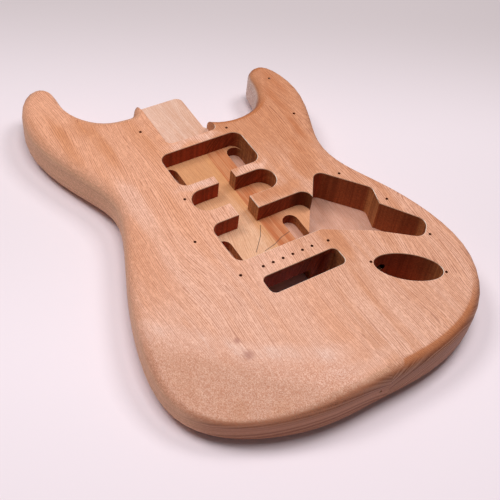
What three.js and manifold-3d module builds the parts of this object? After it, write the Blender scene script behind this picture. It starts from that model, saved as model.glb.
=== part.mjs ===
// Body of a solid electric guitar, bare and unfinished: two boards glued edge to edge, shaped and routed.
// Millimetres. X points to the treble side, Y to the neck and Z out of the top face. The origin lies on the
// top face, on the centre line, midway between the six screws of the bridge.

import * as THREE from "three";
import { mergeVertices } from "three/addons/utils/BufferGeometryUtils.js";
import Module from "manifold-3d";

const wasm = await Module();
wasm.setup();

// Body

const bodyLength = 457;
const bodyWidth = 324;
const bodyThickness = 44;
const edgeRadius = 12;
const seamOffset = 10;

// Forearm contour, which falls away from a slanting line across the top of the bass bout. Where it is deep,
// the edge keeps only a small radius.

const forearmX = -106;
const forearmY = -54;
const forearmBlend = 20;
const forearmFall = THREE.MathUtils.degToRad(226);
const forearmPitch = THREE.MathUtils.degToRad(16.5);
const contourEdgeShare = 0.46;

// Belly cut, which hollows the back beside the bass waist

const bellyX = -58;
const bellyY = 120;
const bellyBlend = 34;
const bellyLength = 170;
const bellyFall = THREE.MathUtils.degToRad(180);
const bellyPitch = THREE.MathUtils.degToRad(8.5);

// Neck pocket and the heel under it

const bridgeToPocket = 175;
const pocketWidth = 56;
const pocketLength = 74.5;
const pocketDepth = 16;
const pocketCorner = 6;
const heelTrebleSide = 25.5;
const heelCorner = 7;
const heelEdge = 4;
const heelRoot = 12;

// Pickup routs and the wire channels that join them

const pickupDepth = 19;
const pickupLength = 90;
const neckPickupWidth = 46.5;
const middlePickupWidth = 27.5;
const bridgePickupWidth = 49;
const doublePickupCorner = 10;
const controlOpeningLength = 17;
const legDepth = 30;
const legWidth = 16;
const legLength = 40;
const bridgeLegShift = -2.5;
const bridgeToNeckPickup = 140.3;
const bridgeToMiddlePickup = 93;
const bridgeToBridgePickup = 38;
const upperChannelWidth = 19;
const lowerChannelWidth = 21.5;
const lowerChannelOffset = -2.8;

// Control cavity

const controlX = 90;
const controlY = 20;
const controlLength = 130;
const controlFloor = 9;
const controlBendRadius = 20;
const controlArmRadius = 10;
const controlCorner = 8;

// Jack rout

const jackX = 91.5;
const jackY = -61;
const jackLength = 64;
const jackWidth = 30.5;
const jackFloor = 8;
const jackTurn = THREE.MathUtils.degToRad(-37);
const jackScrewSpacing = 69;
const jackWireX = 80.5;
const jackWireDepth = 18.5;
const jackWireRadius = 4;

// Tremolo block rout and the spring cavity in the back

const blockLength = 80;
const blockWidth = 20;
const blockOffset = 4.8;
const bridgeToBlock = 20.5;
const blockCorner = 6;
const blockLip = 6;
const blockUndercut = 5;
const springWidth = 54;
const springLength = 100;
const springDepth = 16;
const springCorner = 8;
const clawScrewSpacing = 26;
const clawScrewDepth = 20;
const groundWireY = 34;
const groundWireRadius = 1.75;
const groundWireHeight = 11;

// Screw holes

const screwRadius = 1.5;
const screwDepth = 14;
const bridgeScrewPitch = 10.5;
const bridgeScrewCount = 6;
const coverMargin = 7;
const strapScrewDepth = 25;
const strapScrewRise = 2.5;

// Fineness of the curves

const outlineSteps = 5;
const edgeSteps = 5;
const heelSteps = 3;
const blendSteps = 3;
const bellySteps = 6;
const cornerSegments = 4;
const ovalSegments = 20;
const drillSegments = 10;
const overrun = 2;

// Corners of the outline's hull, anticlockwise, as shares of the body's width and length

const bassHullShares = [
  [-0.084, 0.546],
  [-0.105, 0.523],
  [-0.12, 0.506],
  [-0.146, 0.509],
  [-0.227, 0.512],
  [-0.312, 0.591],
  [-0.278, 0.676],
  [-0.392, 0.696],
  [-0.472, 0.534],
  [-0.336, 0.335],
  [-0.321, 0.258],
  [-0.42, 0.114],
  [-0.494, -0.037],
  [-0.509, -0.179],
  [-0.389, -0.269],
  [-0.173, -0.324],
];
const trebleHullShares = [
  [0.015, -0.317],
  [0.188, -0.324],
  [0.407, -0.282],
  [0.531, -0.14],
  [0.466, 0.05],
  [0.383, 0.147],
  [0.333, 0.254],
  [0.463, 0.405],
  [0.414, 0.556],
  [0.315, 0.538],
  [0.321, 0.486],
  [0.272, 0.411],
  [0.145, 0.4],
  [0.065, 0.429],
];

// Corners of the control cavity from its middle, as shares of its length

const controlCornerShares = {
  bridge: [-0.4, -0.019],
  bend: [0, -0.235],
  armNear: [0.292, -0.456],
  armFar: [0.413, -0.335],
  armRoot: [0.196, -0.038],
  far: [0.245, 0.118],
  neck: [-0.054, 0.465],
};

// Screws of the pickguard, as shares of the body's width and length

const guardScrewShares = [
  [-0.137, 0.444],
  [-0.152, 0.224],
  [-0.205, 0.114],
  [-0.153, 0.001],
  [0.114, 0.375],
  [0.346, 0.35],
  [0.32, 0.144],
  [0.388, 0.036],
  [0.416, -0.085],
  [0.134, -0.003],
  [0.368, 0.481],
];

// Places that follow from the sizes

const backZ = -bodyThickness;
const middleZ = backZ / 2;
const pocketEnd = bridgeToPocket + pocketLength;
const springBottomZ = backZ + springDepth;
const blockY = -bridgeToBlock;
const springStart = blockY - blockWidth / 2;

// Turns a closed three.js geometry into a solid that can be cut and joined.
function solidOf(geometry) {
  const plain = geometry.clone();
  plain.deleteAttribute("normal");
  plain.deleteAttribute("uv");
  const merged = mergeVertices(plain);
  return new wasm.Manifold(
    new wasm.Mesh({
      numProp: 3,
      vertProperties: new Float32Array(merged.attributes.position.array),
      triVerts: new Uint32Array(merged.index.array),
    }),
  );
}

// Turns a solid back into a three.js geometry.
function geometryOf(solid) {
  const { vertProperties, triVerts } = solid.getMesh();
  const geometry = new THREE.BufferGeometry();
  geometry.setAttribute("position", new THREE.BufferAttribute(vertProperties, 3));
  geometry.setIndex(new THREE.BufferAttribute(triVerts, 1));
  const flat = geometry.toNonIndexed();
  flat.computeVertexNormals();
  return flat;
}

// A shape bounded by the closed cubic B-spline of a hull. Each leg of the hull is cut in thirds, and the
// curve passes midway between the two cuts beside each corner.
function smoothShape(hull) {
  const legs = hull.map((corner, i) => {
    const next = hull[(i + 1) % hull.length];
    return { near: corner.clone().lerp(next, 1 / 3), far: corner.clone().lerp(next, 2 / 3) };
  });
  const joint = (i) => {
    const before = legs[(i + legs.length - 1) % legs.length];
    return before.far.clone().lerp(legs[i % legs.length].near, 1 / 2);
  };
  const shape = new THREE.Shape();
  shape.moveTo(joint(0).x, joint(0).y);
  legs.forEach(({ near, far }, i) => {
    const end = joint(i + 1);
    shape.bezierCurveTo(near.x, near.y, far.x, far.y, end.x, end.y);
  });
  return shape;
}

// A straight-sided shape whose corners, [x, y, radius], are rounded by arcs. A radius of 0 keeps one sharp.
function roundedShape(corners) {
  const shape = new THREE.Shape();
  corners.forEach(([x, y, radius], i) => {
    const corner = new THREE.Vector2(x, y);
    const [lastX, lastY] = corners[(i + corners.length - 1) % corners.length];
    const [nextX, nextY] = corners[(i + 1) % corners.length];
    const back = new THREE.Vector2(lastX, lastY).sub(corner).normalize();
    const ahead = new THREE.Vector2(nextX, nextY).sub(corner).normalize();
    if (radius === 0) {
      if (i === 0) shape.moveTo(x, y);
      else shape.lineTo(x, y);
      return;
    }
    const half = Math.acos(back.dot(ahead)) / 2;
    const centre = back.clone().add(ahead).normalize().multiplyScalar(radius / Math.sin(half)).add(corner);
    const start = back.clone().multiplyScalar(radius / Math.tan(half)).add(corner).sub(centre);
    const end = ahead.clone().multiplyScalar(radius / Math.tan(half)).add(corner).sub(centre);
    const clockwise = back.cross(ahead) > 0;
    shape.absarc(centre.x, centre.y, radius, start.angle(), end.angle(), clockwise);
  });
  return shape;
}

function roundedRectangle(centreX, centreY, width, height, radius) {
  const [x, y] = [width / 2, height / 2];
  const signs = [[-1, -1], [1, -1], [1, 1], [-1, 1]];
  return roundedShape(signs.map(([right, up]) => [centreX + right * x, centreY + up * y, radius]));
}

// An upright solid between two heights.
function prism(shape, bottom, top, curveSegments = cornerSegments) {
  const geometry = new THREE.ExtrudeGeometry(shape, { depth: top - bottom, bevelEnabled: false, curveSegments });
  return solidOf(geometry.translate(0, 0, bottom));
}

// A rout cut down from the top face.
function rout(shape, depth, curveSegments = cornerSegments) {
  return prism(shape, -depth, overrun, curveSegments);
}

// A drilled hole from one point to another.
function drill(from, to, radius) {
  const along = to.clone().sub(from);
  const geometry = new THREE.CylinderGeometry(radius, radius, along.length(), drillSegments);
  const turn = new THREE.Quaternion().setFromUnitVectors(new THREE.Vector3(0, 1, 0), along.clone().normalize());
  const middle = from.clone().lerp(to, 1 / 2);
  return solidOf(geometry.applyQuaternion(turn).translate(middle.x, middle.y, middle.z));
}

function screwHole(x, y) {
  return drill(new THREE.Vector3(x, y, -screwDepth), new THREE.Vector3(x, y, overrun), screwRadius);
}

function joined(solids) {
  return solids.reduce((whole, solid) => whole.add(solid));
}

// The body's outline round the heel, the bass side, the tail and the treble side.
function bodyHull() {
  const heel = [
    [heelTrebleSide, bridgeToPocket + pocketLength / 2],
    [heelTrebleSide, pocketEnd - edgeRadius],
    [heelTrebleSide - edgeRadius, pocketEnd],
    [heelCorner - edgeRadius, pocketEnd],
  ];
  const shares = [...bassHullShares, ...trebleHullShares];
  const rim = shares.map(([x, y]) => [x * bodyWidth, y * bodyLength]);
  return [...heel, ...rim].map(([x, y]) => new THREE.Vector2(x, y));
}

// Radius of the tightest outward turn of an outline, the most that its edge can be rounded by.
function tightestTurn(outline) {
  const radii = outline.map((p, i) => {
    const arriving = p.clone().sub(outline.at(i - 1));
    const leaving = outline[(i + 1) % outline.length].clone().sub(p);
    const turn = Math.atan2(arriving.cross(leaving), arriving.dot(leaving));
    return turn > 0 ? (arriving.length() + leaving.length()) / 2 / turn : Infinity;
  });
  return Math.min(...radii);
}

// Triangles of a slab with the given outline, its edges rounded over at the top and the back. The deeper a
// contour cuts at the edge, the smaller the radius there.
function roundedSlab(outline) {
  const count = outline.length;
  const inward = outline.map((_, i) => {
    const ahead = outline[(i + 1) % count].clone().sub(outline[(i + count - 1) % count]);
    return new THREE.Vector2(-ahead.y, ahead.x).normalize();
  });
  const largest = Math.min(edgeRadius, tightestTurn(outline));
  const radius = (cut) => largest - contourEdgeShare * cut;
  const ring = (radii, angle, side) =>
    outline.map((p, i) => {
      const q = p.clone().addScaledVector(inward[i], radii[i] * (1 - Math.sin(angle)));
      const height = bodyThickness / 2 - radii[i] * (1 - Math.cos(angle));
      return new THREE.Vector3(q.x, q.y, middleZ + side * height);
    });
  const angles = Array.from({ length: edgeSteps + 1 }, (_, i) => (i / edgeSteps) * (Math.PI / 2));
  const topRadii = outline.map(({ x, y }) => radius(forearmDrop(x, y)));
  const backRadii = outline.map(({ x, y }) => radius(bellyLift(x, y)));
  const rings = [
    ...angles.map((angle) => ring(topRadii, angle, 1)),
    ...angles.map((angle) => ring(backRadii, angle, -1)).reverse(),
  ];
  const triangles = [];
  rings.slice(1).forEach((lower, level) => {
    const upper = rings[level];
    lower.forEach((corner, i) => {
      const next = (i + 1) % count;
      triangles.push([upper[i], corner, lower[next]], [upper[i], lower[next], upper[next]]);
    });
  });
  const [top, back] = [rings[0], rings.at(-1)];
  for (const [a, b, c] of THREE.ShapeUtils.triangulateShape(top.map((p) => new THREE.Vector2(p.x, p.y)), []))
    triangles.push([top[a], top[b], top[c]], [back[c], back[b], back[a]]);
  return triangles;
}

// The part of a polygon where side is not negative.
function clipped(polygon, side) {
  const kept = [];
  polygon.forEach((corner, i) => {
    const next = polygon[(i + 1) % polygon.length];
    const [here, there] = [side(corner), side(next)];
    if (here >= 0) kept.push(corner);
    if (here * there < 0) kept.push(corner.clone().lerp(next, here / (here - there)));
  });
  return kept;
}

// Cuts triangles along upright planes, at distances from a point along a direction, so that they can bend.
function scored(triangles, x, y, direction, distances) {
  const [east, north] = [Math.cos(direction), Math.sin(direction)];
  return distances.reduce((pieces, distance) => {
    const side = (p) => (p.x - x) * east + (p.y - y) * north - distance;
    return pieces.flatMap((piece) =>
      [clipped(piece, side), clipped(piece, (p) => -side(p))]
        .filter((polygon) => polygon.length > 2)
        .flatMap((polygon) => polygon.slice(2).map((corner, i) => [polygon[0], polygon[i + 1], corner])),
    );
  }, triangles);
}

// Depth of a slope that starts along a line and reaches its pitch after a blend.
function slopeDepth(distance, blend, pitch) {
  if (distance <= 0) return 0;
  const run = distance < blend ? distance ** 2 / (2 * blend) : distance - blend / 2;
  return run * Math.tan(pitch);
}

function forearmDrop(x, y) {
  const distance = (x - forearmX) * Math.cos(forearmFall) + (y - forearmY) * Math.sin(forearmFall);
  return slopeDepth(distance, forearmBlend, forearmPitch);
}

function bellyLift(x, y) {
  const distance = (x - bellyX) * Math.cos(bellyFall) + (y - bellyY) * Math.sin(bellyFall);
  const along = (2 * (y - bellyY)) / bellyLength;
  const fade = Math.abs(along) < 1 ? Math.cos((along * Math.PI) / 2) ** 2 : 0;
  return fade * slopeDepth(distance, bellyBlend, bellyPitch);
}

// The whole blank with its rounded edges and both contours, before any rout.
function blank() {
  const outline = smoothShape(bodyHull()).getPoints(outlineSteps).slice(1);
  const steps = (start, length, count) =>
    Array.from({ length: count + 1 }, (_, i) => start + (length * i) / count);
  const acrossForearm = steps(0, forearmBlend, blendSteps);
  const acrossBelly = steps(0, bellyBlend, blendSteps);
  const alongBelly = steps(-bellyLength / 2, bellyLength, bellySteps);
  let triangles = scored(roundedSlab(outline), forearmX, forearmY, forearmFall, acrossForearm);
  triangles = scored(triangles, bellyX, bellyY, bellyFall, acrossBelly);
  triangles = scored(triangles, bellyX, bellyY, bellyFall - Math.PI / 2, alongBelly);
  const places = triangles.flat().flatMap(({ x, y, z }) =>
    [x, y, z > middleZ ? z - forearmDrop(x, y) : z + bellyLift(x, y)]);
  const geometry = new THREE.BufferGeometry();
  geometry.setAttribute("position", new THREE.Float32BufferAttribute(places, 3));
  return solidOf(geometry);
}

// The crisp block under the neck pocket, with a small radius round its back edge.
function heel() {
  const left = -pocketWidth / 2;
  const root = bridgeToPocket - heelRoot;
  const outline = roundedShape([
    [left, root, 0],
    [heelTrebleSide, root, 0],
    [heelTrebleSide, pocketEnd, heelCorner],
    [left, pocketEnd, heelCorner],
  ]);
  const geometry = new THREE.ExtrudeGeometry(outline, {
    depth: bodyThickness - 2 * heelEdge,
    bevelThickness: heelEdge,
    bevelSize: heelEdge,
    bevelOffset: -heelEdge,
    bevelSegments: heelSteps,
    curveSegments: cornerSegments,
  });
  return solidOf(geometry.translate(0, 0, backZ + heelEdge));
}

// The neck pocket, open at the neck end, its inner corners relieved by the cutter.
function neckPocket() {
  const [x, far] = [pocketWidth / 2, pocketEnd + bodyThickness];
  return rout(
    roundedShape([
      [-x, bridgeToPocket, pocketCorner],
      [x, bridgeToPocket, pocketCorner],
      [x, far, 0],
      [-x, far, 0],
    ]),
    pocketDepth,
  );
}

// A rout for a double pickup, with a deeper slot at each end for its mounting legs. Its treble end can be
// longer, to open into the control cavity.
function doublePickup(y, width, legShift, opening) {
  const legX = (pickupLength - legWidth) / 2;
  const leg = (x) => rout(roundedRectangle(x, y + legShift, legWidth, legLength, legWidth / 2), legDepth);
  const bed = roundedRectangle(opening / 2, y, pickupLength + opening, width, doublePickupCorner);
  return joined([rout(bed, pickupDepth), leg(-legX), leg(legX)]);
}

function singlePickup(y) {
  return rout(roundedRectangle(0, y, pickupLength, middlePickupWidth, middlePickupWidth / 2), pickupDepth);
}

// A channel through the wall between two pickup routs.
function wireChannel(x, width, from, to) {
  return rout(roundedRectangle(x, (from + to) / 2, width, to - from, 0), pickupDepth);
}

function pickupRouts() {
  return joined([
    doublePickup(bridgeToNeckPickup, neckPickupWidth, 0, 0),
    singlePickup(bridgeToMiddlePickup),
    doublePickup(bridgeToBridgePickup, bridgePickupWidth, bridgeLegShift, controlOpeningLength),
    wireChannel(0, upperChannelWidth, bridgeToMiddlePickup, bridgeToNeckPickup),
    wireChannel(lowerChannelOffset, lowerChannelWidth, bridgeToBridgePickup, bridgeToMiddlePickup),
  ]);
}

// The control cavity: a wide part for the pots, an arm towards the tail and an opening to the bridge pickup.
function controlCavity() {
  const radii = {
    bridge: controlCorner / 2,
    bend: controlBendRadius,
    armNear: controlArmRadius,
    armFar: controlArmRadius,
    armRoot: 0,
    far: controlCorner,
    neck: controlCorner,
  };
  const corners = Object.entries(controlCornerShares).map(([name, [x, y]]) => [
    controlX + x * controlLength,
    controlY + y * controlLength,
    radii[name],
  ]);
  return rout(roundedShape(corners), bodyThickness - controlFloor);
}

// The oval rout of the output jack, its two plate screws and the wire hole to the control cavity.
function jackRout() {
  const oval = new THREE.Shape();
  oval.absellipse(jackX, jackY, jackLength / 2, jackWidth / 2, 0, 2 * Math.PI, false, jackTurn);
  const reach = new THREE.Vector2(jackScrewSpacing / 2, 0).rotateAround(new THREE.Vector2(), jackTurn);
  const wire = drill(
    new THREE.Vector3(jackWireX, jackY, -jackWireDepth),
    new THREE.Vector3(jackWireX, controlY, -jackWireDepth),
    jackWireRadius,
  );
  const screws = [-1, 1].map((end) => screwHole(jackX + end * reach.x, jackY + end * reach.y));
  return joined([rout(oval, bodyThickness - jackFloor, ovalSegments), wire, ...screws]);
}

// The slot of the tremolo block, wider towards the neck under a lip, and the spring cavity in the back.
function tremoloRouts() {
  const slot = prism(
    roundedRectangle(blockOffset, blockY, blockLength, blockWidth, blockCorner), backZ - overrun, overrun);
  const undercut = prism(
    roundedRectangle(
      blockOffset, blockY + blockUndercut / 2, blockLength, blockWidth + blockUndercut, blockCorner),
    backZ - overrun,
    -blockLip,
  );
  const springs = prism(
    roundedRectangle(0, springStart + springLength / 2, springWidth, springLength, springCorner),
    backZ - overrun,
    springBottomZ,
  );
  const clawZ = backZ + springDepth / 2;
  const wall = springStart + springLength;
  const claws = [-1, 1].map((side) =>
    drill(
      new THREE.Vector3((side * clawScrewSpacing) / 2, wall - springCorner, clawZ),
      new THREE.Vector3((side * clawScrewSpacing) / 2, wall + clawScrewDepth, clawZ),
      screwRadius,
    ));
  const groundZ = backZ + groundWireHeight;
  const ground = drill(
    new THREE.Vector3(0, groundWireY, groundZ), new THREE.Vector3(controlX, groundWireY, groundZ), groundWireRadius);
  return joined([slot, undercut, springs, ground, ...claws]);
}

// Screw holes of the pickguard and the bridge in the top face.
function topScrews() {
  const guard = guardScrewShares.map(([x, y]) => screwHole(x * bodyWidth, y * bodyLength));
  const bridge = Array.from({ length: bridgeScrewCount }, (_, i) =>
    screwHole((i - (bridgeScrewCount - 1) / 2) * bridgeScrewPitch, 0));
  return joined([...guard, ...bridge]);
}

// Screw holes of the spring cavity's cover, three along each side of it.
function coverScrews() {
  const x = blockLength / 2 + coverMargin;
  const rows = [springStart - coverMargin, springStart + springLength / 2, springStart + springLength + coverMargin];
  const holes = rows.flatMap((y) =>
    [-x, x].map((side) =>
      drill(new THREE.Vector3(side, y, backZ + screwDepth / 2), new THREE.Vector3(side, y, backZ - overrun), screwRadius)));
  return joined(holes);
}

// Pilot holes of the two strap buttons: one in the tail and one in the tip of the bass horn.
function strapScrews() {
  const outline = smoothShape(bodyHull()).getPoints(outlineSteps);
  const horn = outline.reduce((tip, p) => (p.y > tip.y ? p : tip));
  const tail = outline.reduce((end, p) => (p.y < end.y ? p : end));
  const z = middleZ + strapScrewRise;
  const hole = (x, y, inward) =>
    drill(
      new THREE.Vector3(x, y - inward * overrun, z),
      new THREE.Vector3(x, y + inward * strapScrewDepth, z),
      screwRadius,
    );
  return hole(0, tail.y, 1).add(hole(horn.x, horn.y, -1));
}

// One board of the blank, on one side of the glue line.
function boardSpace(side) {
  const width = bodyWidth;
  const box = new THREE.BoxGeometry(width, 2 * bodyLength, 2 * bodyThickness);
  return solidOf(box.translate(seamOffset + (side * width) / 2, 0, 0));
}

function boardMesh(name, solid, material) {
  const mesh = new THREE.Mesh(geometryOf(solid), material);
  mesh.name = name;
  return mesh;
}

const whole = blank().add(heel());
const routs = joined([
  neckPocket(), pickupRouts(), controlCavity(), jackRout(), tremoloRouts(),
  topScrews(), coverScrews(), strapScrews(),
]);
const shaped = whole.subtract(routs);

const bassWood = new THREE.MeshStandardMaterial({ color: 0xdda284, roughness: 0.62, metalness: 0 });
const trebleWood = new THREE.MeshStandardMaterial({ color: 0xd79a78, roughness: 0.62, metalness: 0 });

const guitarBody = new THREE.Group();
guitarBody.add(
  boardMesh("bass_board", shaped.intersect(boardSpace(-1)), bassWood),
  boardMesh("treble_board", shaped.intersect(boardSpace(1)), trebleWood),
);

export default guitarBody;
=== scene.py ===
"""Bare wooden body of a solid electric guitar, lying on its back on a pale floor."""

import math

import bmesh
import bpy
from mathutils import Matrix, Vector


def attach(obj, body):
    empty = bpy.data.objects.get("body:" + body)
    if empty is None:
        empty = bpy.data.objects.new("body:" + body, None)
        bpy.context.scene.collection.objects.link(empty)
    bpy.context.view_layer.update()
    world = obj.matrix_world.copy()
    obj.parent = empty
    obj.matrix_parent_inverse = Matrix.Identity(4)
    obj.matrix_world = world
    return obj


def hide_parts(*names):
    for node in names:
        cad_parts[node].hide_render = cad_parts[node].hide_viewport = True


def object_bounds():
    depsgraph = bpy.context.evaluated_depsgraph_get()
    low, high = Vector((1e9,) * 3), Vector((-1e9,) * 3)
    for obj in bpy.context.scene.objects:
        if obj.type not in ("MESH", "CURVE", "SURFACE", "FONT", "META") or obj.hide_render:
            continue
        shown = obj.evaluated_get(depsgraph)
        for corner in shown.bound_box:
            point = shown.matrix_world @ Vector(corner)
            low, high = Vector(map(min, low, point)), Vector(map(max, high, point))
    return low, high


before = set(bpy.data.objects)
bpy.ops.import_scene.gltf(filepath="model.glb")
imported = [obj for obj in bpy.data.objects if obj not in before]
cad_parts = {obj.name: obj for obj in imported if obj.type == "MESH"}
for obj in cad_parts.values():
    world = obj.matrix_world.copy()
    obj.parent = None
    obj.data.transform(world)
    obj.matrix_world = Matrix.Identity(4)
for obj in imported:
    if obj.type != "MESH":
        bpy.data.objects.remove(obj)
cad_low, cad_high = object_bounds()

MM = 0.001

# Body: where the boards meet, its back, and where its looks change towards the neck and with depth

SEAM_X = 10 * MM
BODY_BACK = cad_low.z
WARMEST_FROM = 230 * MM
POCKET_FROM = 166 * MM
POCKET_SIDE = 45 * MM
TONGUE_SIDE = 25.3 * MM
TONGUE_END = 249 * MM
PICKUP_FLOOR = -19 * MM
DEEP_BELOW = -24 * MM

# Camera: the turns of the photograph's view in radians, its place and its focal length in sensor widths

VIEW_AZIMUTH = -0.662606
VIEW_ELEVATION = 0.860920
VIEW_ROLL = 0.147093
VIEW_PLACE = Vector((-340.18, -379.87, 592.40)) * MM
SENSOR_WIDTH = 36
FOCAL_SHARE = 1.74
NEAREST_SEEN = 10 * MM

# Mesh: how close corners are welded, what counts as flat, level, steep or a crease, and the eased rims

WELD_DISTANCE = 0.002 * MM
FLAT_ANGLE = math.radians(0.1)
CREASE_ANGLE = math.radians(40)
EXACTLY_LEVEL = 0.9999
NEARLY_LEVEL = 0.7
STEEP = 0.2
RIM_WIDTH = 0.42 * MM
RIM_SLOPE = math.cos(math.radians(45))
RIM_SLACK = 0.05
SMALL_HOLE = 20 * MM

# Finishes of a board, in the order of its material slots

SANDED, WALL, FLOOR, RIM = range(4)

# Grain: the hearts that the growth rings go round, with one more for the outside of the treble board,
# and how far each board's grain is shifted, so that the boards don't look alike

BASS_HEART = (-0.05, 0.0, -0.26)
BASS_SHIFT = (0.0, 0.0, 0.0)
TREBLE_HEART = (0.48, 0.0, 0.16)
TREBLE_OUTER_HEART = (0.403, 0.0, 0.11)
TREBLE_SHIFT = (0.31, 0.17, 0.23)

# Rings and pores: the rings' width in the routs, how uneven years shift them, and the lines of pores

ROUT_RING_SPACING = 5.2 * MM
YEARS_PER_METRE = 90
YEARS_SHIFT = 4.0
PORE_SPACING = 1.6 * MM
PORE_SWAY = 2.5

# Forearm contour: a point on its upper edge, the way it falls, how that edge curves, and where it runs out

FOREARM_PLACE = (-106 * MM, -54 * MM, 0.0)
FOREARM_FALL = math.radians(226)
FOREARM_CURVE = 2.6
FOREARM_END = 10 * MM
FOREARM_FADE = 40 * MM

# How deep the contour's marks and the heartwood reach into the wood, and how the shoulder's tone slants

MARK_DEPTH = 34 * MM
SHOULDER_SLANT = 0.7

# Knots: place and radius in millimetres

KNOTS = [((-88, -57), 2.6), ((-86.5, -73.5), 4)]

# Heartwood and painted highlights: place, half width and half length in millimetres, and strength, below
# zero for paler wood.
# The paler spots on the strip before the neck pocket and on the two stubs between the pickup routs are
# painted highlights.

HEARTWOOD_AND_HIGHLIGHTS = [
    ((-86, 190), (8, 45), 0.34),
    ((-85, 238), (34, 20), 0.2),
    ((-118, 225), (8, 50), 0.25),
    ((-142, 170), (14, 70), 0.15),
    ((-50, 190), (12, 60), 0.2),
    ((-62, 90), (8, 60), 0.18),
    ((119, 210), (9, 30), 0.3),
    ((109, 182), (6, 30), 0.35),
    ((102, 145), (6, 26), 0.5),
    ((90, 112), (8, 26), 0.28),
    ((62, 155), (12, 30), 0.16),
    ((75, 88), (10, 20), 0.4),
    ((32, 72), (30, 8), 0.4),
    ((50, 0), (12, 35), 0.36),
    ((45, -60), (14, 35), 0.12),
    ((-6, -90), (9, 45), 0.08),
    ((-142, -66), (9, 26), 0.5),
    ((-125, -98), (9, 18), 0.4),
    ((-115, -113), (12, 10), 1.0),
    ((-87, -126), (12, 8), 0.9),
    ((-105, -60), (8, 20), 0.3),
    ((-130, -10), (14, 20), -0.2),
    ((-20, -125), (50, 8), -0.25),
    # Painted highlights on the strip before the neck pocket and on the two stubs between the pickup routs
    ((0, 171), (34, 8), -0.65),
    ((-28, 112), (22, 7), -0.55),
    ((28, 112), (22, 7), -0.5),
    ((-118, 70), (12, 70), 0.24),
    ((-93, 120), (12, 45), -0.35),
]
HEARTWOOD_AND_HIGHLIGHT_SWING = (16 * MM, 30 * MM, 0.0)

# Marks inside the routs: painted shade in the wire hole and at the bridge rout's treble end, and pencil
# lines.
# The pencil lines' points are in millimetres.

# Painted shade inside the wire hole: the axis of the bore along Y, its radius, and how far in the shade is
# full
WIRE_HOLE_SHADE = (80.5 * MM, 0.0, -18.5 * MM)
WIRE_HOLE_SHADE_RADIUS = 4.4 * MM
WIRE_HOLE_SHADE_START = -5 * MM
# Painted shade on the walls at the bridge rout's treble end: its centre and radius
BRIDGE_END_SHADE = (58 * MM, 58 * MM, -9 * MM)
BRIDGE_END_SHADE_RADIUS = 14 * MM
PENCIL_WIDTH = 0.6 * MM
PENCIL_LINES = [
    [(8, 56), (1, 44.7), (-13, 29.5)],
    [(-5, 27), (8, 30), (18, 34.5), (29, 37)],
]

# Bumps: how deep the open pores are, and how much of that shows

PORE_DEPTH = 0.15 * MM
PORE_STRENGTH = 0.6

# Room: the floor and the direction in which painted shade makes it darker, and the lamps' places and watts

FLOOR_RADIUS = 6
FLOOR_AWAY = (0.5, 0.866, 0.0)
SKY_COLOUR = (1.0, 0.98, 0.97, 1.0)
SKY_STRENGTH = 0.1
LAMP_SIZE = 0.5
LAMP_AIM = (0.0, 0.03, 0.0)
LAMPS = [
    ("overhead", (0.0, 0.03, 1.5), 9.5),
    ("bass_side", (-0.52, 0.62, 1.28), 8.5),
    ("treble_side", (0.744, 0.122, 1.3), 8.0),
]


def linear(code):
    """The scene colour of a colour written as on a web page."""
    parts = [int(code[i : i + 2], 16) / 255 for i in (1, 3, 5)]
    return tuple(c / 12.92 if c < 0.04045 else ((c + 0.055) / 1.055) ** 2.4 for c in parts) + (1.0,)


def drawn(across, along):
    """A texture's size, from millimetres across the fibres and along them."""
    return (across * MM, along * MM, across * MM)


# Nodes


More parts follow.
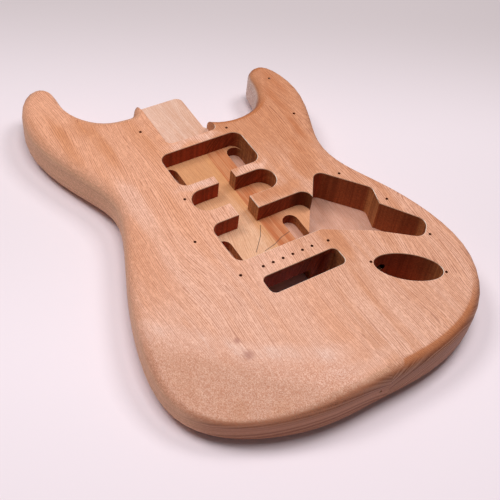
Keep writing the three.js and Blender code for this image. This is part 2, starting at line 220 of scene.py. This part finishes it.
class Tree:
    """Places nodes in a material or a node group and links them."""

    def __init__(self, owner):
        self.nodes = owner.nodes
        self.links = owner.links

    def feed(self, socket, value):
        if isinstance(value, bpy.types.NodeSocket):
            self.links.new(value, socket)
        else:
            socket.default_value = value

    def add(self, kind, **inputs):
        node = self.nodes.new("ShaderNode" + kind)
        for name, value in inputs.items():
            self.feed(node.inputs[name], value)
        return node

    def math(self, operation, a, b=0.0, clamp=False):
        node = self.add("Math")
        node.operation = operation
        node.use_clamp = clamp
        self.feed(node.inputs[0], a)
        self.feed(node.inputs[1], b)
        return node.outputs[0]

    def times(self, first, *others):
        for other in others:
            first = self.math("MULTIPLY", first, other)
        return first

    def plus(self, first, *others):
        for other in others:
            first = self.math("ADD", first, other)
        return first

    def vector(self, operation, *operands):
        """A sum with vectors, which gives a number for a length, a distance or a dot product."""
        node = self.add("VectorMath")
        node.operation = operation
        for socket, value in zip(node.inputs, operands):
            self.feed(socket, value)
        return node.outputs["Value" if operation in ("LENGTH", "DISTANCE", "DOT_PRODUCT") else "Vector"]

    def split(self, vector):
        node = self.add("SeparateXYZ")
        self.feed(node.inputs[0], vector)
        return node.outputs

    def remap(self, value, low, high, to_low=0.0, to_high=1.0):
        """Leads smoothly from to_low, where value is at low, to to_high, where it is at high."""
        span = {"From Min": low, "From Max": high, "To Min": to_low, "To Max": to_high}
        node = self.add("MapRange", Value=value, **span)
        node.interpolation_type = "SMOOTHSTEP"
        return node.outputs["Result"]

    def mix(self, share, a, b):
        node = self.add("Mix")
        node.data_type = "RGBA"
        first, second = [s for s in node.inputs if s.type == "RGBA"]
        self.feed(node.inputs["Factor"], share)
        self.feed(first, a)
        self.feed(second, b)
        return next(s for s in node.outputs if s.type == "RGBA")

    def tint(self, colour, code, *shares):
        """Mixes a web colour into a colour, by the product of the shares."""
        return self.mix(self.times(*shares), colour, linear(code))

    def stretched(self, vector, size):
        """Coordinates that make a texture of scale 1 as large as size."""
        node = self.add("Mapping", Vector=vector)
        node.inputs["Scale"].default_value = [1 / s for s in size]
        return node.outputs["Vector"]

    def noise(self, vector, size, detail=2.0, roughness=0.5):
        """A cloudy value whose clouds are as large as size."""
        clouds = self.add("TexNoise", Vector=self.stretched(vector, size), Scale=1.0)
        clouds.inputs["Detail"].default_value = detail
        clouds.inputs["Roughness"].default_value = roughness
        return clouds.outputs["Fac"]

    def flecks(self, vector, size):
        """A random value in each of many small cells as large as size."""
        cells = self.add("TexVoronoi", Vector=self.stretched(vector, size), Scale=1.0)
        return self.remap(self.split(cells.outputs["Color"])["X"], 0.0, 1.0)

    def wandering(self, place, size, swing, detail):
        """Coordinates that swing to and fro, so that what is drawn on them isn't quite straight."""
        wander = self.add("TexNoise", Vector=self.stretched(place, size), Scale=1.0, Detail=detail)
        return self.vector("MULTIPLY_ADD", wander.outputs["Color"], swing, place)

    def spot(self, place, centre, radius, softness):
        """A soft ball, or a rod along an axis that place has flattened out."""
        return self.remap(self.vector("DISTANCE", place, centre), radius + softness, radius - softness)

    def group(self, shared, **inputs):
        """The outputs of a shared node group, fed with the inputs."""
        node = self.add("Group")
        node.node_tree = shared
        for name, value in inputs.items():
            self.feed(node.inputs[name], value)
        return node.outputs


def node_group(name, inputs, outputs, build):
    """A shader node group. build gets its tree and input sockets and returns its output values by name."""
    group = bpy.data.node_groups.new(name, "ShaderNodeTree")
    for label, kind in inputs.items():
        group.interface.new_socket(label, in_out="INPUT", socket_type="NodeSocket" + kind)
    for label in outputs:
        group.interface.new_socket(label, in_out="OUTPUT", socket_type="NodeSocketFloat")
    entry = group.nodes.new("NodeGroupInput")
    leave = group.nodes.new("NodeGroupOutput")
    for label, socket in build(Tree(group), entry.outputs).items():
        group.links.new(socket, leave.inputs[label])
    return group


# Shared effects of the wood


def build_grain(tree, given):
    """Growth rings about the heart, which runs along the body, and streaks, fibres and pores along it."""
    place = given["Place"]
    bent = tree.wandering(place, drawn(90, 160), (30 * MM, 0.0, 12 * MM), 1.0)

    away = tree.vector("MULTIPLY", tree.vector("SUBTRACT", bent, given["Heart"]), (1.0, 0.0, 1.0))
    reach = tree.vector("LENGTH", away)
    years = tree.add("TexNoise", Scale=1.0, Detail=1.0)
    years.noise_dimensions = "1D"
    tree.feed(years.inputs["W"], tree.times(reach, YEARS_PER_METRE))
    growth = years.outputs["Fac"]
    turns = tree.plus(tree.math("DIVIDE", reach, given["Spacing"]), tree.times(growth, YEARS_SHIFT))
    rings = tree.remap(tree.math("SINE", tree.times(turns, 2 * math.pi)), -1.0, 1.0)

    streak = tree.noise(bent, drawn(12, 220))
    broad = tree.noise(bent, drawn(50, 130))
    fibre = tree.noise(bent, drawn(0.8, 35), 0.0)

    # The pores lie in lines that sway, break off and are denser in places
    sway = tree.noise(bent, drawn(4, 60), 1.0)
    across = tree.vector("DOT_PRODUCT", bent, (1 / PORE_SPACING, 0.0, 1 / PORE_SPACING))
    lines = tree.math("SINE", tree.times(tree.plus(across, tree.times(sway, PORE_SWAY)), 2 * math.pi))
    broken = tree.noise(bent, drawn(1.3, 8), 0.0)
    crowd = tree.noise(bent, drawn(16, 80))
    pore = tree.times(
        tree.remap(lines, -0.2, 0.9),
        tree.remap(broken, 0.22, 0.5),
        tree.remap(crowd, 0.3, 0.7, 0.88, 1.0),
    )

    # The cutter's marks run down the walls
    chatter = tree.noise(place, (3 * MM, 3 * MM, 150 * MM), 2.0, 0.6)
    return {
        "Rings": tree.times(rings, tree.remap(growth, 0.35, 0.6, 0.45, 1.0)),
        "Streak": tree.remap(streak, 0.33, 0.69),
        "Broad": tree.remap(broad, 0.35, 0.65),
        "Fibre": tree.remap(fibre, 0.36, 0.64),
        "Pore": pore,
        "Speck": tree.flecks(place, drawn(0.8, 1.4)),
        "Chatter": tree.remap(chatter, 0.35, 0.65),
    }


GRAIN = node_group(
    "wood_grain",
    {"Place": "Vector", "Heart": "Vector", "Spacing": "Float"},
    ("Rings", "Streak", "Broad", "Fibre", "Pore", "Speck", "Chatter"),
    build_grain,
)


def build_end_grain(tree, given):
    """How far a surface cuts across the fibres, which run along Y, and how far its outline does."""
    facing = tree.split(given["Normal"])
    along = tree.math("ABSOLUTE", facing["Y"])
    # A little more than 1, so that a level surface isn't divided by zero
    level = tree.math("SQRT", tree.math("SUBTRACT", 1.001, tree.times(facing["Z"], facing["Z"])))
    outline = tree.math("DIVIDE", along, level)
    return {"Share": tree.remap(along, 0.15, 1.0), "Outline": tree.remap(outline, 0.4, 0.95)}


END_GRAIN = node_group("end_grain", {"Normal": "Vector"}, ("Share", "Outline"), build_end_grain)


def build_contour(tree, given):
    """The forearm contour's cut, a painted highlight along its upper edge, and torn fibres there and at
    the bass waist.
    """
    place = given["Place"]
    where = tree.split(place)
    away = tree.vector("SUBTRACT", place, FOREARM_PLACE)
    fall_x, fall_y = math.cos(FOREARM_FALL), math.sin(FOREARM_FALL)
    beyond = tree.vector("DOT_PRODUCT", away, (fall_x, fall_y, 0.0))
    along = tree.math("MAXIMUM", tree.vector("DOT_PRODUCT", away, (-fall_y, fall_x, 0.0)), 0.0)
    waver = tree.math("SUBTRACT", tree.noise(place, drawn(50, 50)), 0.5)
    beyond = tree.plus(beyond, tree.times(along, along, FOREARM_CURVE), tree.times(waver, 20 * MM))

    fade = tree.times(
        tree.remap(where["X"], FOREARM_END, FOREARM_END - FOREARM_FADE),
        tree.remap(where["Z"], -MARK_DEPTH, -MARK_DEPTH / 2),
    )
    cut = tree.times(tree.remap(beyond, -20 * MM, 24 * MM), fade)
    # Painted highlight along the contour's upper edge
    ridge_highlight = tree.times(tree.remap(beyond, -14 * MM, -3 * MM), tree.remap(beyond, 16 * MM, 1 * MM), fade)
    waist = tree.times(
        tree.remap(where["X"], -92 * MM, -116 * MM),
        tree.remap(where["Y"], -30 * MM, 40 * MM),
        tree.remap(where["Y"], 160 * MM, 100 * MM),
    )
    torn = tree.math("MAXIMUM", cut, tree.times(waist, 0.35))
    tufts = tree.flecks(place, drawn(0.6, 0.7))
    return {"Cut": cut, "RidgeHighlight": ridge_highlight, "Torn": tree.times(torn, tufts)}


CONTOUR = node_group("contour_marks", {"Place": "Vector"}, ("Cut", "RidgeHighlight", "Torn"), build_contour)


def build_heartwood_and_highlights(tree, given):
    """Soft streaks drawn out along the fibres: darker wood from the tree's heart, paler wood, and painted
    highlights.
    """
    bent = tree.wandering(given["Place"], drawn(22, 70), HEARTWOOD_AND_HIGHLIGHT_SWING, 2.0)
    total = 0.0
    for (x, y), (half_width, half_length), strength in HEARTWOOD_AND_HIGHLIGHTS:
        centred = tree.add("Mapping", Vector=bent)
        centred.vector_type = "TEXTURE"
        # The swing of the coordinates is half of its full size on average
        centre = (x * MM + HEARTWOOD_AND_HIGHLIGHT_SWING[0] / 2, y * MM + HEARTWOOD_AND_HIGHLIGHT_SWING[1] / 2, 0.0)
        centred.inputs["Location"].default_value = centre
        centred.inputs["Scale"].default_value = (half_width * MM, half_length * MM, MARK_DEPTH)
        reach = tree.vector("LENGTH", centred.outputs["Vector"])
        total = tree.plus(total, tree.remap(reach, 1.3, 0.25, 0.0, strength))
    return {"Share": total}


HEARTWOOD_AND_HIGHLIGHT_MARKS = node_group("heartwood_and_highlights", {"Place": "Vector"}, ("Share",), build_heartwood_and_highlights)


# Finishes


def finished(name, build, gloss=0.25):
    """A material. build gets a tree, the place and the normal and returns colour, roughness and height."""
    material = bpy.data.materials.new(name)
    material.use_nodes = True
    tree = Tree(material.node_tree)
    shader = next(n for n in tree.nodes if n.type == "BSDF_PRINCIPLED")
    place = tree.add("TexCoord").outputs["Object"]
    normal = tree.add("NewGeometry").outputs["Normal"]
    colour, roughness, height = build(tree, place, normal)
    tree.feed(shader.inputs["Base Color"], colour)
    tree.feed(shader.inputs["Roughness"], roughness)
    bump = tree.add("Bump", Height=height, Distance=PORE_DEPTH, Strength=PORE_STRENGTH)
    tree.feed(shader.inputs["Normal"], bump.outputs["Normal"])
    shader.inputs["Specular IOR Level"].default_value = gloss
    return material


def top_tone(tree, tones, place, grain, contour):
    """The wood's tone: warmer towards the neck and in the tree's heart, paler in painted highlights on the
    contour's edge.
    """
    pale, middle, deep = tones
    warmth = tree.plus(
        tree.times(tree.remap(tree.split(place)["Y"], 0.0, WARMEST_FROM), 0.42),
        0.12,
        tree.times(grain["Streak"], 0.2),
        tree.times(grain["Broad"], 0.12),
        # Darker and paler streaks of the wood, and painted highlights on the strip before the neck pocket
        # and on the stubs
        tree.group(HEARTWOOD_AND_HIGHLIGHT_MARKS, Place=place)["Share"],
        # Painted highlight along the contour's upper edge makes the tone paler
        tree.times(contour["RidgeHighlight"], -0.36),
    )
    colour = tree.mix(tree.remap(warmth, 0.0, 0.6), linear(pale), linear(middle))
    colour = tree.tint(colour, deep, tree.remap(warmth, 0.55, 1.2))
    # Where the tone falls below zero it turns pale pink: on paler wood and on the painted highlights
    return tree.tint(colour, "#ffe4da", tree.remap(warmth, 0.05, -0.4, 0.0, 0.6))


def side_tone(tree, painted_light_facing_bass, place, normal):
    """The sides, warmer beside the neck pocket, with a paler colour painted on as light where they face
    the bass side.
    """
    where = tree.split(place)
    off_pocket = tree.remap(tree.math("ABSOLUTE", where["X"]), POCKET_SIDE, POCKET_SIDE + 15 * MM)
    past_start = tree.remap(where["Y"], POCKET_FROM - 1 * MM, POCKET_FROM + 4 * MM)
    beside_pocket = tree.math("SUBTRACT", past_start, off_pocket, clamp=True)
    colour = tree.mix(beside_pocket, linear("#f8d3be"), linear("#f0b184"))
    # Painted light: a paler colour on the sides that face the bass side
    return tree.tint(colour, painted_light_facing_bass, tree.remap(tree.split(normal)["X"], -0.3, -0.8), off_pocket)


def end_grain_and_painted_shade(tree, painted_bounce_below, depth):
    """The end grain of the tail and the horns, its dark tone deepened by painted shade just under the
    edge, and painted paler again low down as light thrown up from the floor.
    """
    colour = tree.mix(tree.remap(depth, -2 * MM, -7 * MM), linear("#a05430"), linear("#6a341e"))
    return tree.tint(colour, "#9d624c", tree.remap(depth, painted_bounce_below, painted_bounce_below - 7 * MM))


def pore_share(tree, place, contour, level):
    """How dark the pores are: least on the forearm contour, and most towards the treble side."""
    where = tree.split(place)
    on_top = tree.remap(where["Y"], 50 * MM, 200 * MM, 0.5, 0.52)
    return tree.times(
        tree.plus(on_top, tree.times(contour["Cut"], -0.4)),
        tree.remap(level, 0.9, 0.4, 1.0, 0.85),
        tree.remap(where["X"], 30 * MM, 100 * MM, 1.0, 1.25),
    )


def sanded_wood(
    name, tones, eased, painted_light_facing_bass, shoulder_and_shade, shoulder_from, painted_bounce_below, striped, spacing, heart, shift
):
    """The sanded outside: top, edges, sides and back.

    tones are the wood's colours from pale to deep. eased is the colour of the rounded edge,
    painted_light_facing_bass the paler colour painted on sides that face the bass side, as painted light
    from that side. shoulder_and_shade is the colour of an edge across the fibres, its end grain darkened
    with painted shade, and shoulder_from the X at the top from which it shows. Below the height
    painted_bounce_below the end grain is painted paler, as light from the floor.
    striped is how clear the growth rings are on the sides, and spacing the width of one ring.
    """

    def build(tree, place, normal):
        where = tree.split(place)
        grain = tree.group(GRAIN, Place=tree.vector("ADD", place, shift), Heart=heart, Spacing=spacing)
        contour = tree.group(CONTOUR, Place=place)
        ends = tree.group(END_GRAIN, Normal=normal)["Outline"]
        # 1 on the top and the back, 0 on the sides
        level = tree.math("ABSOLUTE", tree.split(normal)["Z"])

        on_edge = tree.times(tree.remap(level, 0.97, 0.6), tree.remap(level, 0.2, 0.5))
        on_side = tree.remap(level, 0.6, 0.2, 0.0, 0.9)
        slanted = tree.math("SUBTRACT", where["X"], tree.times(where["Z"], SHOULDER_SLANT))
        past_start = tree.remap(slanted, shoulder_from, shoulder_from + 3 * MM)
        on_shaded_shoulder = tree.times(ends, tree.remap(level, 0.996, 0.95, 0.0, 0.85), past_start)
        on_end = tree.times(ends, tree.remap(level, 0.96, 0.6, 0.0, 0.9))
        colour = top_tone(tree, tones, place, grain, contour)
        colour = tree.tint(colour, eased, on_edge, 0.55)
        # The sides' colour brings in painted light where they face the bass side
        colour = tree.mix(on_side, colour, side_tone(tree, painted_light_facing_bass, place, normal))
        # Painted shade darkens the edge across the fibres, on top of its end grain colour
        colour = tree.tint(colour, shoulder_and_shade, on_shaded_shoulder)
        # End grain, with painted shade under the edge and painted light from the floor lower down
        colour = tree.mix(on_end, colour, end_grain_and_painted_shade(tree, painted_bounce_below, where["Z"]))

        ring_clear = tree.plus(tree.times(ends, 0.6), 0.4)
        in_rings = tree.times(tree.remap(level, 0.97, 0.3, 0.0, striped), ring_clear)
        ring = tree.mix(grain["Rings"], linear("#e0ad92"), linear("#4a1e0e"))
        colour = tree.mix(in_rings, colour, ring)
        colour = tree.tint(colour, "#bf7850", grain["Fibre"], 0.14)
        colour = tree.tint(colour, "#b47452", grain["Speck"], tree.plus(tree.times(ends, 0.15), 0.3))

        torn = tree.times(contour["Torn"], tree.remap(level, 0.1, 0.7, 0.35, 1.0))
        colour = tree.tint(colour, "#fbd4c2", contour["Cut"], tree.remap(level, 0.75, 0.93, 0.0, 0.3))
        colour = tree.tint(colour, "#c07859", torn, 0.72)
        colour = tree.tint(colour, "#8f4e34", grain["Pore"], pore_share(tree, place, contour, level))
        for (x, y), radius in KNOTS:
            knot = tree.spot(place, (x * MM, y * MM, 0.0), radius * MM, 0.8 * radius * MM)
            colour = tree.tint(colour, "#a06458", knot, 0.58)

        height = tree.math("SUBTRACT", tree.times(grain["Fibre"], 0.4), grain["Pore"])
        return colour, 0.6, tree.plus(height, tree.times(torn, 0.8))

    return finished(name, build)


def routed_wall(name, along, across, ring, ring_share, heart, shift):
    """Walls of the routs: the paler colour along the fibres, burnished dark where the cutter crossed them.

    ring is the colour of the growth rings and ring_share how clear they are near the seam.
    """

    def build(tree, place, normal):
        where = tree.split(place)
        moved = tree.vector("ADD", place, shift)
        grain = tree.group(GRAIN, Place=moved, Heart=heart, Spacing=ROUT_RING_SPACING)
        share = tree.group(END_GRAIN, Normal=normal)["Share"]
        colour = tree.mix(share, linear(along), linear(across))
        near_seam = tree.remap(where["X"], SEAM_X + 45 * MM, SEAM_X + 20 * MM, 0.1, ring_share)
        colour = tree.tint(colour, ring, grain["Rings"], near_seam)
        colour = tree.tint(colour, "#5e1e0e", grain["Chatter"], 0.4)
        colour = tree.tint(colour, "#4a170a", grain["Speck"], 0.3)

        off_wire = tree.vector("MULTIPLY", place, (1.0, 0.0, 1.0))
        # Painted shade: the inside of the wire hole is painted near-black
        wire_hole_shade = tree.spot(off_wire, WIRE_HOLE_SHADE, WIRE_HOLE_SHADE_RADIUS, 0.2 * MM)
        colour = tree.tint(colour, "#1c0a05", wire_hole_shade, tree.remap(where["Y"], 0.0, WIRE_HOLE_SHADE_START))
        # Painted shade on the walls at the treble end of the bridge rout
        colour = tree.tint(colour, "#4a1c0c", tree.spot(place, BRIDGE_END_SHADE, BRIDGE_END_SHADE_RADIUS, 4 * MM), 0.7)
        return colour, 0.6, grain["Fibre"]

    return finished(name, build, gloss=0.12)


def pencil_line(tree, place, start, end):
    """A thin mask along a straight pencil line on a pickup rout's floor."""
    start, end = (Vector((x * MM, y * MM, PICKUP_FLOOR)) for x, y in (start, end))
    run = end - start
    off = tree.vector("SUBTRACT", place, start)
    share = tree.math("ADD", tree.vector("DOT_PRODUCT", off, run / run.length_squared), 0.0, clamp=True)
    gap = tree.vector("DISTANCE", off, tree.vector("MULTIPLY", run, share))
    return tree.remap(gap, PENCIL_WIDTH, PENCIL_WIDTH / 3)


def routed_floor(name, neck_end, bridge_end, seam_side, seam_span, heart, shift):
    """Floors of the routs, orange in the pickup routs and paler pink in the pocket and the deep routs.

    seam_span is how far the darker bands reach from the seam, negative towards the bass side.
    """

    def build(tree, place, normal):
        moved = tree.vector("ADD", place, shift)
        grain = tree.group(GRAIN, Place=moved, Heart=heart, Spacing=ROUT_RING_SPACING)
        where = tree.split(place)
        colour = tree.mix(tree.remap(where["Y"], 50 * MM, 130 * MM), linear(bridge_end), linear(neck_end))
        beside_seam = tree.remap(where["X"], SEAM_X + seam_span, SEAM_X + seam_span / 3)
        bands = tree.noise(moved, drawn(3.5, 90), 2.0, 0.6)
        colour = tree.tint(colour, seam_side, beside_seam, tree.remap(bands, 0.38, 0.6, 0.35, 0.95))
        colour = tree.tint(colour, "#cc8753", grain["Streak"], 0.16)

        streak = tree.times(grain["Streak"], 0.6)
        in_pocket = tree.remap(where["Y"], POCKET_FROM, POCKET_FROM + 4 * MM)
        colour = tree.mix(in_pocket, colour, tree.mix(streak, linear("#e9c3b0"), linear("#d6a286")))
        sunk = tree.remap(where["Z"], DEEP_BELOW, DEEP_BELOW - 2 * MM)
        colour = tree.mix(sunk, colour, tree.mix(streak, linear("#dbab97"), linear("#c48972")))

        colour = tree.tint(colour, "#b9764e", grain["Fibre"], 0.2)
        colour = tree.tint(colour, "#b9764e", grain["Speck"], 0.18)
        colour = tree.tint(colour, "#8f5038", grain["Pore"], 0.24)
        for line in PENCIL_LINES:
            for start, end in zip(line, line[1:]):
                colour = tree.tint(colour, "#503830", pencil_line(tree, place, start, end), 0.75)
        return colour, 0.6, grain["Fibre"]

    return finished(name, build)


def painted_rim_light(name):
    """The narrow rim round each rout, where the fresh edge was eased, painted pale as a highlight, with
    painted shade where it faces the tail.
    """

    def build(tree, place, normal):
        speck = tree.group(GRAIN, Place=place, Spacing=ROUT_RING_SPACING)["Speck"]
        # Painted highlight: the eased rim is painted pale
        colour = tree.mix(speck, linear("#fff2e4"), linear("#f6dcc8"))
        # Painted shade on the rims that face the tail
        colour = tree.tint(colour, "#a8714f", tree.remap(tree.split(normal)["Y"], 0.15, -0.25, 0.0, 0.85))
        return colour, 0.5, speck

    return finished(name, build)


# The two boards


def loops_of(edges):
    """Groups edges that share corners."""
    left, loops = set(edges), []
    while left:
        loop = [left.pop()]
        for edge in loop:
            for corner in edge.verts:
                joined = [e for e in corner.link_edges if e in left]
                left.difference_update(joined)
                loop += joined
        loops.append(loop)
    return loops


def is_rim(edge):
    """Whether an edge lies between the top and the wall of a cut, and not on the seam."""
    if len(edge.link_faces) != 2 or min(v.co.z for v in edge.verts) < -WELD_DISTANCE:
        return False
    if all(abs(v.co.x - SEAM_X) <= WELD_DISTANCE for v in edge.verts):
        return False
    level, steep = sorted(edge.link_faces, key=lambda f: -f.normal.z)
    return level.normal.z > EXACTLY_LEVEL and abs(steep.normal.z) < STEEP


def weld(shape):
    """Joins corners that lie on each other and drops what has no area."""
    bmesh.ops.remove_doubles(shape, verts=shape.verts, dist=WELD_DISTANCE)
    bmesh.ops.dissolve_degenerate(shape, edges=shape.edges, dist=WELD_DISTANCE)


def ease_rims(shape):
    """Breaks the sharp edge between the top and each rout's wall with a narrow chamfer."""
    bmesh.ops.dissolve_limit(shape, angle_limit=FLAT_ANGLE, verts=shape.verts, edges=shape.edges)
    loops = loops_of([edge for edge in shape.edges if is_rim(edge)])
    large = [loop for loop in loops if sum(edge.calc_length() for edge in loop) > SMALL_HOLE]
    bmesh.ops.bevel(
        shape,
        geom=[edge for loop in large for edge in loop],
        offset=RIM_WIDTH,
        affect="EDGES",
        segments=1,
        profile=0.5,
        material=-1,
        clamp_overlap=False,
    )
    weld(shape)


def outside_of(shape):
    """The faces that no crease parts from the top: the top itself, the edge, the sides and the back."""
    start = [f for f in shape.faces if f.normal.z > EXACTLY_LEVEL and f.calc_center_median().z > -MM / 10]
    region, waiting = set(start), list(start)
    while waiting:
        face = waiting.pop()
        for edge in face.edges:
            if edge.smooth:
                new = [f for f in edge.link_faces if f not in region]
                region.update(new)
                waiting += new
    return region


def finish_of(face, outside):
    """Which of a board's finishes a face has."""
    centre, upward = face.calc_center_median(), face.normal.z
    if centre.z > -RIM_WIDTH and abs(upward - RIM_SLOPE) < RIM_SLACK:
        return RIM
    if upward > EXACTLY_LEVEL and centre.z < -MM:
        return FLOOR
    beside_tongue = centre.y > POCKET_FROM and (centre.x > TONGUE_SIDE or centre.y > TONGUE_END)
    if face in outside or beside_tongue:
        return SANDED
    return FLOOR if upward > NEARLY_LEVEL else WALL


def dressed_board(node, finishes):
    """A copy of a CAD board with merged triangles, sharp creases and a finish for each kind of cut."""
    shape = bmesh.new()
    shape.from_mesh(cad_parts[node].data)
    weld(shape)
    ease_rims(shape)
    for edge in shape.edges:
        edge.smooth = len(edge.link_faces) == 2 and edge.calc_face_angle(0) < CREASE_ANGLE
    outside = outside_of(shape)
    for face in shape.faces:
        face.smooth = True
        face.material_index = finish_of(face, outside)
    mesh = bpy.data.meshes.new(node + "_wood")
    for finish in finishes:
        mesh.materials.append(finish)
    shape.to_mesh(mesh)
    shape.free()
    board = bpy.data.objects.new(node + "_wood", mesh)
    bpy.context.scene.collection.objects.link(board)
    even = board.modifiers.new("even_shading", "WEIGHTED_NORMAL")
    even.keep_sharp = True
    even.weight = 100
    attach(board, "root")
    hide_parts(node)


def make_bass_board():
    sanded = sanded_wood(
        "bass_sanded",
        tones=("#f5c1aa", "#efb090", "#d28858"),
        eased="#ffc2a0",
        painted_light_facing_bass="#fac8a2",
        shoulder_and_shade="#e2ad8e",
        shoulder_from=-1.0,
        painted_bounce_below=-10 * MM,
        striped=0.45,
        spacing=3.8 * MM,
        heart=BASS_HEART,
        shift=BASS_SHIFT,
    )
    wall = routed_wall(
        "bass_routed_wall",
        along="#d08a58",
        across="#b84c2c",
        ring="#6a2412",
        ring_share=0.1,
        heart=BASS_HEART,
        shift=BASS_SHIFT,
    )
    floor = routed_floor(
        "bass_routed_floor",
        neck_end="#d99d6f",
        bridge_end="#edbd9b",
        seam_side="#d99a68",
        seam_span=-12 * MM,
        heart=BASS_HEART,
        shift=BASS_SHIFT,
    )
    dressed_board("bass_board", [sanded, wall, floor, painted_rim_light("bass_painted_rim_light")])


def make_treble_board():
    sanded = sanded_wood(
        "treble_sanded",
        tones=("#f4c0a8", "#d99772", "#c2754a"),
        eased="#d08c5c",
        painted_light_facing_bass="#fff0e8",
        shoulder_and_shade="#c47440",
        shoulder_from=24 * MM,
        painted_bounce_below=-15 * MM,
        striped=0.62,
        spacing=2.7 * MM,
        heart=TREBLE_OUTER_HEART,
        shift=TREBLE_SHIFT,
    )
    wall = routed_wall(
        "treble_routed_wall",
        along="#c8824f",
        across="#b2512f",
        ring="#5e1d0c",
        ring_share=0.6,
        heart=TREBLE_HEART,
        shift=TREBLE_SHIFT,
    )
    floor = routed_floor(
        "treble_routed_floor",
        neck_end="#dc9c70",
        bridge_end="#e0a078",
        seam_side="#ba6236",
        seam_span=32 * MM,
        heart=TREBLE_HEART,
        shift=TREBLE_SHIFT,
    )
    dressed_board("treble_board", [sanded, wall, floor, painted_rim_light("treble_painted_rim_light")])


# Floor, light and camera


def lay_floor():
    """A wide pale floor under the body, with painted shade that makes it darker away from the camera."""
    mesh = bpy.data.meshes.new("floor")
    shape = bmesh.new()
    bmesh.ops.create_circle(shape, cap_ends=True, segments=64, radius=FLOOR_RADIUS)
    bmesh.ops.translate(shape, verts=shape.verts, vec=(0, 0, BODY_BACK))
    shape.to_mesh(mesh)
    shape.free()
    floor = bpy.data.objects.new("floor", mesh)
    bpy.context.scene.collection.objects.link(floor)
    material = bpy.data.materials.new("pale_floor")
    material.use_nodes = True
    tree = Tree(material.node_tree)
    shader = next(n for n in tree.nodes if n.type == "BSDF_PRINCIPLED")
    place = tree.add("TexCoord").outputs["Object"]
    away = tree.vector("DOT_PRODUCT", place, FLOOR_AWAY)
    # Painted shade: the floor's colour darkens away from the camera
    colour = tree.mix(tree.remap(away, 0.1, -0.12), linear("#e9dce2"), linear("#f4e6ed"))
    tree.feed(shader.inputs["Base Color"], tree.tint(colour, "#cec2c5", tree.remap(away, 0.2, 0.46)))
    shader.inputs["Roughness"].default_value = 0.9
    shader.inputs["Specular IOR Level"].default_value = 0.1
    mesh.materials.append(material)


def add_lamp(name, place, watts):
    """A square soft lamp that faces the body."""
    data = bpy.data.lights.new(name, "AREA")
    data.shape = "SQUARE"
    data.size = LAMP_SIZE
    data.energy = watts
    lamp = bpy.data.objects.new(name, data)
    lamp.location = place
    lamp.rotation_euler = (Vector(LAMP_AIM) - Vector(place)).to_track_quat("-Z", "Y").to_euler()
    bpy.context.scene.collection.objects.link(lamp)


def light_room():
    world = bpy.data.worlds.new("room")
    world.use_nodes = True
    background = next(n for n in world.node_tree.nodes if n.type == "BACKGROUND")
    background.inputs["Color"].default_value = SKY_COLOUR
    background.inputs["Strength"].default_value = SKY_STRENGTH
    bpy.context.scene.world = world
    for name, place, watts in LAMPS:
        add_lamp(name, place, watts)


def set_camera():
    sine, cosine = math.sin(VIEW_AZIMUTH), math.cos(VIEW_AZIMUTH)
    flat = math.cos(VIEW_ELEVATION)
    back = Vector((sine * flat, -cosine * flat, math.sin(VIEW_ELEVATION)))
    level = Vector((cosine, sine, 0))
    upright = back.cross(level)
    right = level * math.cos(VIEW_ROLL) + upright * math.sin(VIEW_ROLL)
    turn = Matrix((right, back.cross(right), back)).transposed().to_4x4()
    data = bpy.data.cameras.new("camera")
    data.sensor_width = SENSOR_WIDTH
    data.lens = SENSOR_WIDTH * FOCAL_SHARE
    data.clip_start = NEAREST_SEEN
    camera = bpy.data.objects.new("camera", data)
    camera.matrix_world = Matrix.Translation(VIEW_PLACE) @ turn
    bpy.context.scene.collection.objects.link(camera)
    bpy.context.scene.camera = camera


make_bass_board()
make_treble_board()
lay_floor()
light_room()
set_camera()
bpy.context.scene.view_settings.view_transform = "Standard"
